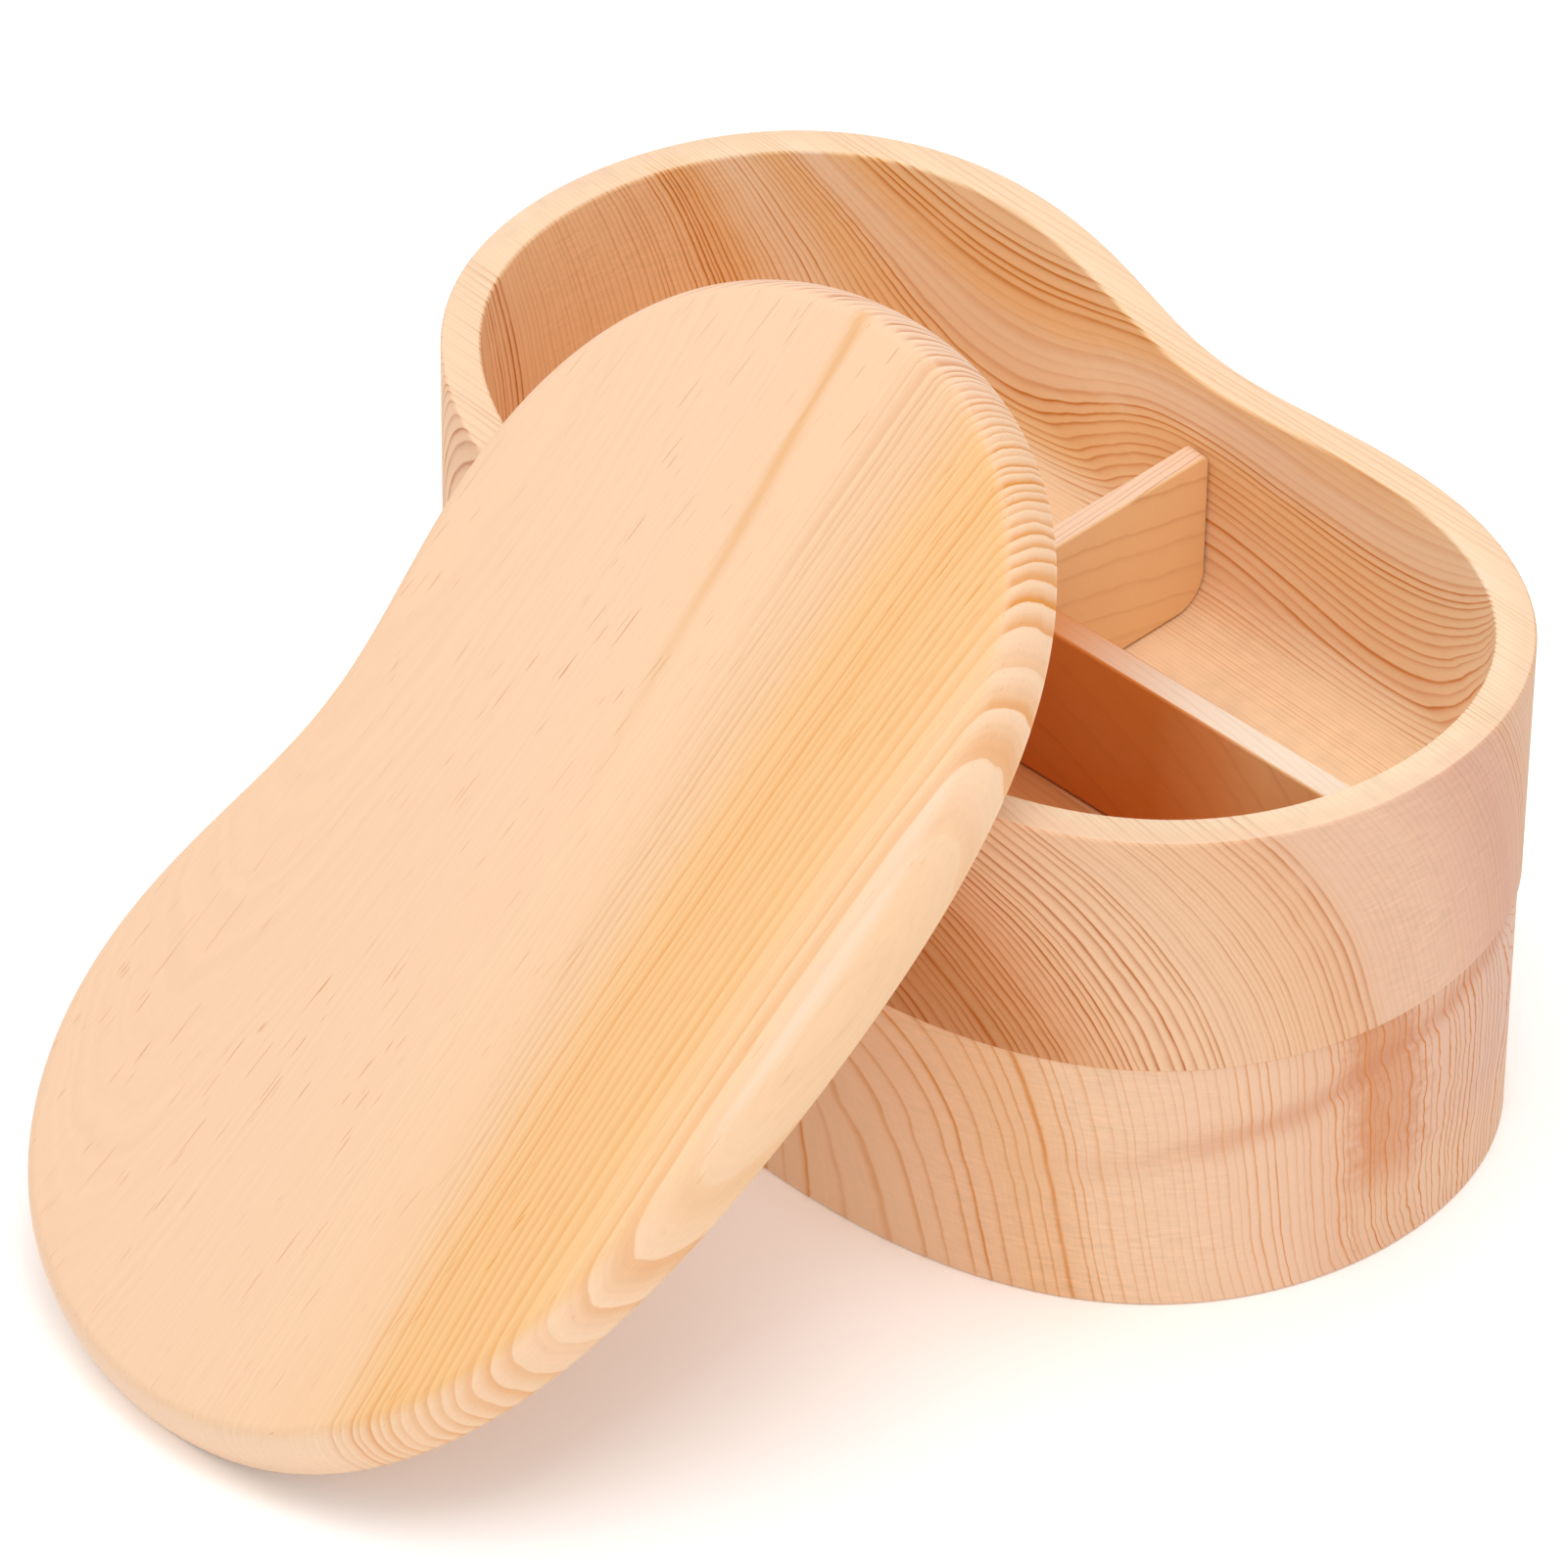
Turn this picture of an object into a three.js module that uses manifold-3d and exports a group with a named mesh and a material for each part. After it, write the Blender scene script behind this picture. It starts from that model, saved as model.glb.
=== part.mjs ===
// Kidney-shaped wooden lunch box of two tiers, with its lid leaned against it.
// Millimetres, +Z up. The origin is the middle of the lower tier's underside,
// +X points along the box and +Y towards its waist, the hollow long side.
import * as THREE from "three";
import { mergeVertices } from "three/addons/utils/BufferGeometryUtils.js";
import Module from "manifold-3d";

const wasm = await Module();
wasm.setup();

// Outline, shared by both tiers and the lid
const LENGTH = 190;
const WIDTH = 111.6;
// Rows of harmonic, cosine and sine. X is their sum in shares of LENGTH, Y in shares of WIDTH.
const ALONG_SHARES = [
  [1, 0.4853, 0],
  [2, 0, -0.0513],
  [3, 0.0092, 0],
  [5, -0.006, 0],
];
const ACROSS_SHARES = [
  [0, 0.0782, 0],
  [1, 0, 0.5322],
  [2, 0.1035, 0],
  [3, 0, 0.0457],
  [4, 0.0031, 0],
  [5, 0, -0.0103],
  [6, 0.0018, 0],
];
const STEPS_ROUND = 80;

// Walls, edges and fits
const WALL = 6;
const COVE_RADIUS = 6;
const EDGE_RADIUS = 0.6;
const FIT_CLEARANCE = 0.4;
const REST_GAP = 0.2;

// Lower tier
const LOWER_HEIGHT = 44.1;
const LOWER_FLOOR = 5;
const LOWER_STEP = 0.45;

// Upper tier, with the spigot that drops into the mouth below
const UPPER_HEIGHT = 41.2;
const UPPER_FLOOR = 6.2;
const SPIGOT_DEPTH = 4;

// Dividers, a board across the waist and a board along the right lobe
const CROSS_THICKNESS = 4;
const LONG_THICKNESS = 4.7;
const DIVIDER_DROP = 11.5;
const DIVIDER_CLEARANCE = 0.3;
const GROOVE_DEPTH = 1.2;
const TEE_X = 10.8;
const TEE_Y = -0.8;
const TEE_TURN_DEGREES = 7.2;

// Lid, with the plug that drops into the upper tier's mouth
const LID_CROWN = 9.5;
const LID_CROWN_INSET = 4.6;
const LID_FOOT_RADIUS = 0.6;
const PLUG_DEPTH = 3.6;
const LID_X = 19.8;
const LID_TILT_DEGREES = 41.7;
const LID_ROLL_DEGREES = 2.5;
const LID_TURN_DEGREES = 88.9;

const RIM_Z = LOWER_HEIGHT + REST_GAP + UPPER_HEIGHT;
const UPPER_Z = LOWER_HEIGHT + REST_GAP;
const UPPER_FLOOR_Z = UPPER_Z - SPIGOT_DEPTH + UPPER_FLOOR;

const QUARTER = Math.PI / 2;

const rad = THREE.MathUtils.degToRad;

// Sum of the harmonics at a turn angle.
function harmonics(shares, turn) {
  return shares.reduce((sum, [k, c, s]) => sum + c * Math.cos(k * turn) + s * Math.sin(k * turn), 0);
}

// Rate of change of that sum with the turn angle.
function slope(shares, turn) {
  return shares.reduce((sum, [k, c, s]) => sum + k * (s * Math.cos(k * turn) - c * Math.sin(k * turn)), 0);
}

// Outline point at a turn angle, moved in square to the outline by the inset.
function outlinePoint(turn, inset) {
  const along = LENGTH * slope(ALONG_SHARES, turn);
  const across = WIDTH * slope(ACROSS_SHARES, turn);
  const speed = Math.hypot(along, across);
  const x = LENGTH * harmonics(ALONG_SHARES, turn) - (inset * across) / speed;
  const y = WIDTH * harmonics(ACROSS_SHARES, turn) + (inset * along) / speed;
  return [x, y];
}

// Solid swept round the outline by a profile of [inset, z] points. The profile starts
// on the underside and ends on the top or the inside floor, and both ends are closed flat.
function sweptSolid(profile) {
  const positions = [];
  for (const [inset, z] of profile) {
    for (let i = 0; i < STEPS_ROUND; i++) {
      positions.push(...outlinePoint((2 * Math.PI * i) / STEPS_ROUND, inset), z);
    }
  }
  const lastRow = (profile.length - 1) * STEPS_ROUND;
  const startHub = positions.length / 3;
  const endHub = startHub + 1;
  positions.push(0, 0, profile[0][1], 0, 0, profile.at(-1)[1]);
  const faces = [];
  for (let i = 0; i < STEPS_ROUND; i++) {
    const next = (i + 1) % STEPS_ROUND;
    faces.push(startHub, next, i, endHub, lastRow + i, lastRow + next);
    for (let row = 0; row < lastRow; row += STEPS_ROUND) {
      const above = row + STEPS_ROUND;
      faces.push(row + i, row + next, above + next, row + i, above + next, above + i);
    }
  }
  const geometry = new THREE.BufferGeometry();
  geometry.setAttribute("position", new THREE.Float32BufferAttribute(positions, 3));
  geometry.setIndex(faces);
  geometry.computeVertexNormals();
  return geometry;
}

// Profile points on an elliptic arc round a centre, from one angle to another.
function arc(inset, z, radiusIn, radiusUp, from, to, steps) {
  return Array.from({ length: steps + 1 }, (_, i) => {
    const angle = from + ((to - from) * i) / steps;
    return [inset - radiusIn * Math.cos(angle), z + radiusUp * Math.sin(angle)];
  });
}

// Outside of a tier, from its bottom edge up and over the rim to the inner edge.
function outsideProfile(outer, bottom, top) {
  const r = EDGE_RADIUS;
  return [
    ...arc(outer + r, bottom + r, r, r, -QUARTER, 0, 2),
    ...arc(outer + r, top - r, r, r, 0, QUARTER, 2),
    ...arc(WALL - r, top - r, r, r, QUARTER, 2 * QUARTER, 2),
  ];
}

// Cove from the inside wall to the floor, all moved in by a clearance.
function coveProfile(floor, clearance) {
  const r = COVE_RADIUS - clearance;
  return arc(WALL + COVE_RADIUS, floor + COVE_RADIUS, r, r, 0, -QUARTER, 5);
}

// Round-edged stub that drops into a mouth, from its underside up to its shoulder.
function plugProfile(shoulder, depth) {
  const r = EDGE_RADIUS;
  const inset = WALL + FIT_CLEARANCE;
  return [...arc(inset + r, shoulder - depth + r, r, r, -QUARTER, 0, 2), [inset, shoulder]];
}

function lowerTier() {
  return sweptSolid([...outsideProfile(LOWER_STEP, 0, LOWER_HEIGHT), ...coveProfile(LOWER_FLOOR, 0)]);
}

function upperTier() {
  return sweptSolid([
    ...plugProfile(UPPER_Z, SPIGOT_DEPTH),
    ...outsideProfile(0, UPPER_Z, RIM_Z),
    ...coveProfile(UPPER_FLOOR_Z, 0),
  ]);
}

// Lid about the middle of its widest level, top up.
function lid() {
  const foot = LID_FOOT_RADIUS;
  return sweptSolid([
    ...plugProfile(-foot, PLUG_DEPTH),
    ...arc(foot, 0, foot, foot, -QUARTER, 0, 2),
    ...arc(LID_CROWN_INSET, 0, LID_CROWN_INSET, LID_CROWN, 0, QUARTER, 8),
  ]);
}

function toManifold(geometry) {
  const bare = geometry.clone().deleteAttribute("normal");
  bare.deleteAttribute("uv");
  const merged = mergeVertices(bare);
  const vertProperties = new Float32Array(merged.attributes.position.array);
  const triVerts = new Uint32Array(merged.index.array);
  return new wasm.Manifold(new wasm.Mesh({ numProp: 3, vertProperties, triVerts }));
}

function toGeometry(solid) {
  const mesh = solid.getMesh();
  const geometry = new THREE.BufferGeometry();
  geometry.setAttribute("position", new THREE.Float32BufferAttribute(mesh.vertProperties, 3));
  geometry.setIndex(new THREE.Uint32BufferAttribute(mesh.triVerts, 1));
  geometry.computeVertexNormals();
  return geometry;
}

// Space that the dividers may fill inside the upper tier.
function dividerSpace() {
  const top = RIM_Z - DIVIDER_DROP;
  const cove = coveProfile(UPPER_FLOOR_Z, DIVIDER_CLEARANCE).reverse();
  return toManifold(sweptSolid([...cove, [WALL + DIVIDER_CLEARANCE, top]]));
}

// Upright board of the tee, in the tee's own directions: x from one end to the other,
// y from one side to the other, and higher and lower than the space that trims it.
function board(fromX, toX, fromY, toY) {
  const geometry = new THREE.BoxGeometry(toX - fromX, toY - fromY, UPPER_HEIGHT + SPIGOT_DEPTH);
  geometry.translate((fromX + toX) / 2, (fromY + toY) / 2, (UPPER_Z + RIM_Z) / 2);
  geometry.rotateZ(rad(TEE_TURN_DEGREES));
  geometry.translate(TEE_X, TEE_Y, 0);
  return toManifold(geometry);
}

function crossDivider(space) {
  const half = LONG_THICKNESS / 2 + DIVIDER_CLEARANCE;
  const groove = board(-GROOVE_DEPTH, CROSS_THICKNESS, -half, half);
  return toGeometry(board(-CROSS_THICKNESS, 0, -WIDTH, WIDTH).subtract(groove).intersect(space));
}

function longDivider(space) {
  const half = LONG_THICKNESS / 2;
  return toGeometry(board(DIVIDER_CLEARANCE - GROOVE_DEPTH, LENGTH, -half, half).intersect(space));
}

// Largest reach of a mesh's points along a direction.
function reach(mesh, direction) {
  mesh.updateMatrixWorld(true);
  const points = mesh.geometry.attributes.position;
  const point = new THREE.Vector3();
  let most = -Infinity;
  for (let i = 0; i < points.count; i++) {
    point.fromBufferAttribute(points, i).applyMatrix4(mesh.matrixWorld);
    most = Math.max(most, point.dot(direction));
  }
  return most;
}

// Leans the lid: its low end stands on the table, and its plug lies on the rim.
function leanLid(lidMesh, upperMesh) {
  lidMesh.rotation.set(rad(LID_TILT_DEGREES), rad(LID_ROLL_DEGREES), rad(LID_TURN_DEGREES));
  const normal = new THREE.Vector3(0, 0, 1).applyEuler(lidMesh.rotation);
  const height = REST_GAP + reach(lidMesh, new THREE.Vector3(0, 0, -1));
  const stand = reach(upperMesh, normal) + LID_FOOT_RADIUS + PLUG_DEPTH + REST_GAP;
  lidMesh.position.set(LID_X, (stand - normal.x * LID_X - normal.z * height) / normal.y, height);
}

function piece(name, geometry, colour, roughness) {
  const mesh = new THREE.Mesh(geometry, new THREE.MeshStandardMaterial({ color: colour, roughness, metalness: 0 }));
  mesh.name = name;
  return mesh;
}

const space = dividerSpace();
const box = new THREE.Group();
const upper = piece("upper_tier", upperTier(), "#e3ae7c", 0.6);
const leaned = piece("lid", lid(), "#f5cda4", 0.55);
leanLid(leaned, upper);
box.add(
  piece("lower_tier", lowerTier(), "#e8b68a", 0.6),
  upper,
  piece("cross_divider", crossDivider(space), "#d99a63", 0.6),
  piece("long_divider", longDivider(space), "#c9804a", 0.6),
  leaned,
);
export default box;
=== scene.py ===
# %% [markdown]
# A kidney-shaped wooden lunch box: two stacked tiers, a tee of two dividers in the upper one,
# and the lid, which leans against the front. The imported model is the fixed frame. It gives the
# place and size of every piece, and this notebook makes the fine surfaces and the wood around it.

import math
from types import SimpleNamespace

import bmesh
import bpy
import numpy as np
from mathutils import Euler, Matrix, Vector


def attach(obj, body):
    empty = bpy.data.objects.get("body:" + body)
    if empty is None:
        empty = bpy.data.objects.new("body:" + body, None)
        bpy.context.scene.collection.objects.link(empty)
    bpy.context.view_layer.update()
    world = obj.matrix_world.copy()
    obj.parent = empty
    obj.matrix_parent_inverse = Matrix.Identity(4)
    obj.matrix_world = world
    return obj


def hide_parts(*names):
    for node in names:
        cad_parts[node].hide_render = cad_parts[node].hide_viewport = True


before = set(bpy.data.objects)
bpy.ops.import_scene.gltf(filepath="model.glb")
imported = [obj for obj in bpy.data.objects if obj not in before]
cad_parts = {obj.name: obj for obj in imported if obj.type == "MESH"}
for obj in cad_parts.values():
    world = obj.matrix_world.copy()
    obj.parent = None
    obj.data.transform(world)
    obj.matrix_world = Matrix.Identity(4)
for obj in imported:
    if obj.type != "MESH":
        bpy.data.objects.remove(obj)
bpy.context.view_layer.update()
MM = 0.001

# %% [markdown]
# The camera comes first. The picture was taken from far away with a long lens, so the box shows
# almost no perspective: lines that are parallel on the box stay nearly parallel in the picture.
# The eye, the point it looks at and its slight roll are in millimetres in the frame's directions.

# %% Camera
EYE = np.array([965.5, -792.2, 1016.3])
TARGET = np.array([15.4, -43.1, 60.0])
ROLL = -0.0128
LENS, SENSOR = 245.75, 36.0
CLIP = (0.1, 20.0)


def camera_matrix(eye, target, roll):
    """Camera axes: back is target to eye, right is level and square to it, both turned by the roll."""
    forward = (target - eye) / np.linalg.norm(target - eye)
    side = np.cross(forward, [0, 0, 1.0])
    side /= np.linalg.norm(side)
    down = np.cross(forward, side)
    right = math.cos(roll) * side + math.sin(roll) * down
    lower = math.cos(roll) * down - math.sin(roll) * side
    matrix = np.eye(4)
    matrix[:3, :3] = np.stack([right, -lower, -forward], 1)
    matrix[:3, 3] = eye * MM
    return Matrix(matrix.tolist())


camera = bpy.data.objects.new("camera", bpy.data.cameras.new("camera"))
camera.data.sensor_fit = "HORIZONTAL"
camera.data.sensor_width = SENSOR
camera.data.lens = LENS
camera.data.clip_start, camera.data.clip_end = CLIP
camera.matrix_world = camera_matrix(EYE, TARGET, ROLL)
bpy.context.scene.collection.objects.link(camera)
bpy.context.scene.camera = camera
print("camera at", [round(v, 4) for v in camera.location])

# %% [markdown]
# The whole box follows one closed outline with two lobes and a waist. A sum of a few sines and
# cosines describes it exactly and has no corners, so the fine surfaces here and the solids of the
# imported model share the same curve. A wall is that curve moved inwards. Each row below holds how
# often a wave goes round the outline, its share of cosine and its share of sine.

# %% Outline
LENGTH, WIDTH = 190.0, 111.6
ALONG = np.array([[1, 0.4853, 0], [2, 0, -0.0513], [3, 0.0092, 0], [5, -0.006, 0]])
ACROSS = np.array([
    [0, 0.0782, 0], [1, 0, 0.5322], [2, 0.1035, 0], [3, 0, 0.0457],
    [4, 0.0031, 0], [5, 0, -0.0103], [6, 0.0018, 0],
])
ROUND_STEPS = 360
TURNS = np.arange(ROUND_STEPS) * 2 * np.pi / ROUND_STEPS


def harmonics(rows, turn):
    """Sum over the rows of cosine share times cos(k turn) plus sine share times sin(k turn), and slope."""
    k, c, s = rows.T[:, :, None]
    turn = np.asarray(turn, float).reshape(1, -1)
    value = (c * np.cos(k * turn) + s * np.sin(k * turn)).sum(0)
    slope = (k * (s * np.cos(k * turn) - c * np.sin(k * turn))).sum(0)
    return value, slope


def outline(turn, inset):
    """Outline point at each turn angle, moved inwards, square to the outline, by the inset."""
    shape = np.broadcast(turn, inset).shape
    turn = np.broadcast_to(turn, shape).ravel()
    inset = np.broadcast_to(inset, shape).ravel()
    x, dx = harmonics(ALONG, turn)
    y, dy = harmonics(ACROSS, turn)
    x, dx, y, dy = x * LENGTH, dx * LENGTH, y * WIDTH, dy * WIDTH
    speed = np.hypot(dx, dy)
    points = np.stack([x - inset * dy / speed, y + inset * dx / speed], -1)
    return points.reshape(*shape, 2)


print("outline spans", outline(TURNS, 0).min(0).round(1), outline(TURNS, 0).max(0).round(1))

# %% [markdown]
# A tier is one profile of inset and height, carried round the outline. The profile goes up the
# outside, over the rim, down the inside and round the cove to the floor. These are its sizes in
# millimetres, with heights above the table, and the steps that each kind of bend is drawn in.

# %% Sizes
WALL, COVE_RADIUS, EDGE_RADIUS, SEAM_RADIUS = 6.0, 6.0, 0.6, 0.25
FIT_CLEARANCE, REST_GAP = 0.4, 0.2
LOWER_HEIGHT, LOWER_FLOOR, LOWER_STEP = 44.1, 5.0, 0.45
UPPER_HEIGHT, UPPER_FLOOR, SPIGOT_DEPTH = 41.2, 6.2, 4.0
UPPER_Z = LOWER_HEIGHT + REST_GAP
RIM_Z = UPPER_Z + UPPER_HEIGHT
UPPER_FLOOR_Z = UPPER_Z - SPIGOT_DEPTH + UPPER_FLOOR
QUARTER = math.pi / 2
FOOT_STEPS, EDGE_STEPS, COVE_STEPS, CROWN_STEPS = 6, 8, 16, 28
print("rim at", RIM_Z, "and upper floor at", UPPER_FLOOR_Z)

# %% [markdown]
# A profile is put together from arcs. Where two arcs lie apart, a straight stretch joins them, and
# it gets rows of its own: long thin faces shade badly, and a wall of even faces shades smoothly.

# %% Profile helpers
WALL_ROWS, ROW_SPACING, LOOSE_GAP = 12, 3.0, 1.0


def arc(inset, z, radius_in, radius_up, start, end, steps):
    """Elliptic arc in the profile plane: inset less radius times cosine, height plus radius times sine."""
    angle = np.linspace(start, end, steps + 1)
    return np.stack([inset - radius_in * np.cos(angle), z + radius_up * np.sin(angle)], -1)


def straight(first, last, rows):
    """Points between two profile points, without either end."""
    share = np.linspace(0, 1, rows + 2)[1:-1, None]
    return np.asarray(first) + (np.asarray(last) - np.asarray(first)) * share


def joined(*stretches):
    """One profile from several stretches, with evenly spaced rows wherever two of them lie apart."""
    rows = [stretches[0]]
    for stretch in stretches[1:]:
        apart = np.linalg.norm(stretch[0] - rows[-1][-1])
        if apart > LOOSE_GAP:
            count = max(1, min(WALL_ROWS, int(apart / ROW_SPACING)))
            rows.append(straight(rows[-1][-1], stretch[0], count))
        rows.append(stretch)
    return np.concatenate(rows)


# %% [markdown]
# Carried round the outline, the profile becomes a grid of points. Rows of the same curve, shrunk
# towards the middle, close the flat underside and the floor with well-shaped faces, and a fan of
# triangles fills the last small ring at each end.

# %% Swept surface
CAP_SHARES = np.array([0.97, 0.85, 0.65, 0.45, 0.25, 0.1])


def swept(profile):
    """Grid of points whose row j is the outline at inset profile[j, 0] and height profile[j, 1], and the
    middle points of its two ends."""
    ring = outline(TURNS[None, :], profile[:, :1])
    walls = np.concatenate([ring, np.broadcast_to(profile[:, 1:, None], (*ring.shape[:2], 1))], -1)
    hubs = np.array([[0, 0, profile[0, 1]], [0, 0, profile[-1, 1]]])
    under = hubs[0] + (walls[0] - hubs[0]) * CAP_SHARES[::-1, None, None]
    over = hubs[1] + (walls[-1] - hubs[1]) * CAP_SHARES[:, None, None]
    return np.concatenate([under, walls, over]), hubs


def closed_faces(rows, columns):
    """Quads of a grid that closes on itself sideways, and a fan of triangles at each end of it."""
    index = np.arange(rows * columns).reshape(rows, columns)
    right = np.roll(index, -1, 1)
    quads = np.stack([index[:-1], right[:-1], right[1:], index[1:]], -1).reshape(-1, 4)
    first, last = rows * columns, rows * columns + 1
    start = np.stack([np.full(columns, first), right[0], index[0]], -1)
    end = np.stack([np.full(columns, last), index[-1], right[-1]], -1)
    return quads.tolist() + start.tolist() + end.tolist()


# %% [markdown]
# In Blender the points and faces are a mesh, and an object puts the mesh into the scene. Each
# piece then rides on a body of the frame and takes the place of one imported solid.

# %% Adding a piece


def add_piece(name, grid, hubs, body, node, slot):
    """Mesh of a grid of points in millimetres and its two end points, riding on a body for a node."""
    points = np.concatenate([grid.reshape(-1, 3), hubs]) * MM
    mesh = bpy.data.meshes.new(name)
    mesh.from_pydata(points.tolist(), [], closed_faces(*grid.shape[:2]))
    mesh.polygons.foreach_set("use_smooth", np.ones(len(mesh.polygons), bool))
    piece = bpy.data.objects.new(name, mesh)
    bpy.context.scene.collection.objects.link(piece)
    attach(piece, body)
    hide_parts(node)
    print(name, len(mesh.polygons), "faces", np.round(points.min(0), 4), np.round(points.max(0), 4))
    return piece


# %% [markdown]
# Both tiers are milled from solid blocks. The lower one is a hair smaller than the upper one all
# round. The upper one has a short spigot that drops into the mouth below, and a fine dark line
# shows where the two meet. The rim's edges are broken with a small round, as sanding leaves them.

# %% Tiers


def plug_profile(shoulder, depth):
    """Stub with a rounded lower edge, from its underside up to its shoulder."""
    inset, r = WALL + FIT_CLEARANCE, EDGE_RADIUS
    foot = arc(inset + r, shoulder - depth + r, r, r, -QUARTER, 0, FOOT_STEPS)
    return joined(foot, np.array([[inset, shoulder]]))


def outside_profile(outer, bottom, top, foot, crest):
    """Outer wall with its foot and crest rounded, the flat rim and the rounded inner edge."""
    r = EDGE_RADIUS
    return joined(
        arc(outer + foot, bottom + foot, foot, foot, -QUARTER, 0, EDGE_STEPS),
        arc(outer + crest, top - crest, crest, crest, 0, QUARTER, EDGE_STEPS),
        arc(WALL - r, top - r, r, r, QUARTER, 2 * QUARTER, EDGE_STEPS),
    )


def cove_profile(floor):
    """Quarter round from the inside wall down to the floor."""
    return arc(WALL + COVE_RADIUS, floor + COVE_RADIUS, COVE_RADIUS, COVE_RADIUS, 0, -QUARTER, COVE_STEPS)


lower_profile = joined(
    outside_profile(LOWER_STEP, 0, LOWER_HEIGHT, EDGE_RADIUS, SEAM_RADIUS),
    cove_profile(LOWER_FLOOR),
)
upper_profile = joined(
    plug_profile(UPPER_Z, SPIGOT_DEPTH),
    outside_profile(0, UPPER_Z, RIM_Z, SEAM_RADIUS, EDGE_RADIUS),
    cove_profile(UPPER_FLOOR_Z),
)
lower_tier = add_piece(
    "lower_tier_wood", *swept(lower_profile), "lower_tier", "lower_tier", "lower_tier_wood"
)
upper_tier = add_piece(
    "upper_tier_wood", *swept(upper_profile), "upper_tier", "upper_tier", "upper_tier_wood"
)

# %% [markdown]
# The lid is a thick board with the same outline. Its top edge is rolled over in a quarter of an
# ellipse, and a plug under it drops into the mouth of the upper tier. It is made flat about its
# own middle, and its points are then turned and moved to where it leans.

# %% Lid
LID_CROWN, LID_CROWN_INSET, LID_FOOT_RADIUS, PLUG_DEPTH = 9.5, 4.6, 0.6, 3.6
LID_ANGLES = (41.7, 2.5, 88.9)
LID_PLACE = np.array([19.8, -86.229, 63.368])
LID_TURN = Euler([math.radians(angle) for angle in LID_ANGLES], "ZYX")

lid_profile = joined(
    plug_profile(-LID_FOOT_RADIUS, PLUG_DEPTH),
    arc(LID_FOOT_RADIUS, 0, LID_FOOT_RADIUS, LID_FOOT_RADIUS, -QUARTER, 0, FOOT_STEPS),
    arc(LID_CROWN_INSET, 0, LID_CROWN_INSET, LID_CROWN, 0, QUARTER, CROWN_STEPS),
)
lid_axes = np.array(LID_TURN.to_matrix())
flat_grid, flat_hubs = swept(lid_profile)
lid_grid = flat_grid @ lid_axes.T + LID_PLACE
lid_hubs = flat_hubs @ lid_axes.T + LID_PLACE
lid = add_piece("lid_wood", lid_grid, lid_hubs, "lid", "lid", "lid_wood")

# %% [markdown]
# The dividers are two thin boards joined in a tee, slightly turned in the box. Where a board's end
# meets the curved wall is found by Newton's steps: from a first guess, the slope of the outline
# says how far to go on, and a dozen such steps land on the wall.

# %% Where a board meets the wall
TEE_PLACE = np.array([10.8, -0.8])
TEE_TURN = math.radians(7.2)
TEE_AXES = np.array([[math.cos(TEE_TURN), math.sin(TEE_TURN)], [-math.sin(TEE_TURN), math.cos(TEE_TURN)]])
NEWTON_STEPS, SMALL_TURN = 12, 1e-4
CROSS_STARTS, LONG_STARTS = (1.45, -1.4), (0.1,)


def in_tee(turn, inset):
    """Outline point in the tee's own directions."""
    return (outline(turn, inset) - TEE_PLACE) @ TEE_AXES.T


def wall_meeting(offset, inset, axis, start):
    """Where the line at an offset across a board meets the inset outline, measured along the board."""
    offset, inset = np.broadcast_arrays(offset, inset)
    turn = np.full(offset.shape, start)
    for _ in range(NEWTON_STEPS):
        here = in_tee(turn, inset)[..., axis]
        ahead = in_tee(turn + SMALL_TURN, inset)[..., axis]
        turn = turn - (here - offset) * SMALL_TURN / (ahead - here)
    return in_tee(turn, inset)[..., 1 - axis]


print("long divider meets the wall", wall_meeting(0, WALL, 1, LONG_STARTS[0]).round(1), "mm from the tee")

# %% [markdown]
# Each board's loop runs down one end, round the cove, along the floor and up the other end. Loops
# a little smaller towards both faces round its long edges. The long board's inner end is straight
# and sits in a groove of the cross board.

# %% Dividers
CROSS_THICKNESS, LONG_THICKNESS = 4.0, 4.7
DIVIDER_DROP, DIVIDER_CLEARANCE, GROOVE_DEPTH = 11.5, 0.3, 1.2
DIVIDER_ROUND, TOP_CORNER, FACE_MARGIN = 0.45, 1.6, 0.15
ROUND_POINTS, END_ROWS, END_COVE_STEPS = 7, 4, 12


def end_profile(shrink):
    """Inset and height down a board's end: rounded top corner, straight end and cove, shrunk evenly."""
    wall = WALL + DIVIDER_CLEARANCE
    top, radius = RIM_Z - DIVIDER_DROP, TOP_CORNER - shrink
    corner = arc(wall + TOP_CORNER, top - TOP_CORNER, radius, radius, QUARTER, 0, EDGE_STEPS)
    bend = COVE_RADIUS - DIVIDER_CLEARANCE - shrink
    cove = arc(
        WALL + COVE_RADIUS, UPPER_FLOOR_Z + COVE_RADIUS, bend, bend, 0, -QUARTER, END_COVE_STEPS
    )
    return np.concatenate([corner, straight(corner[-1], cove[0], END_ROWS), cove])


def edge_rows(half):
    """Offset across the thickness and shrink of each loop, from face to face, round both edges."""
    angle = np.linspace(0, QUARTER, ROUND_POINTS)
    out = half - DIVIDER_ROUND + DIVIDER_ROUND * np.sin(angle)
    side = np.stack([out, DIVIDER_ROUND * (1 - np.cos(angle))], -1)
    side = np.concatenate([side, [[half, DIVIDER_ROUND + FACE_MARGIN]]])
    return np.concatenate([side[::-1] * [-1, 1], side])


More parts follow.
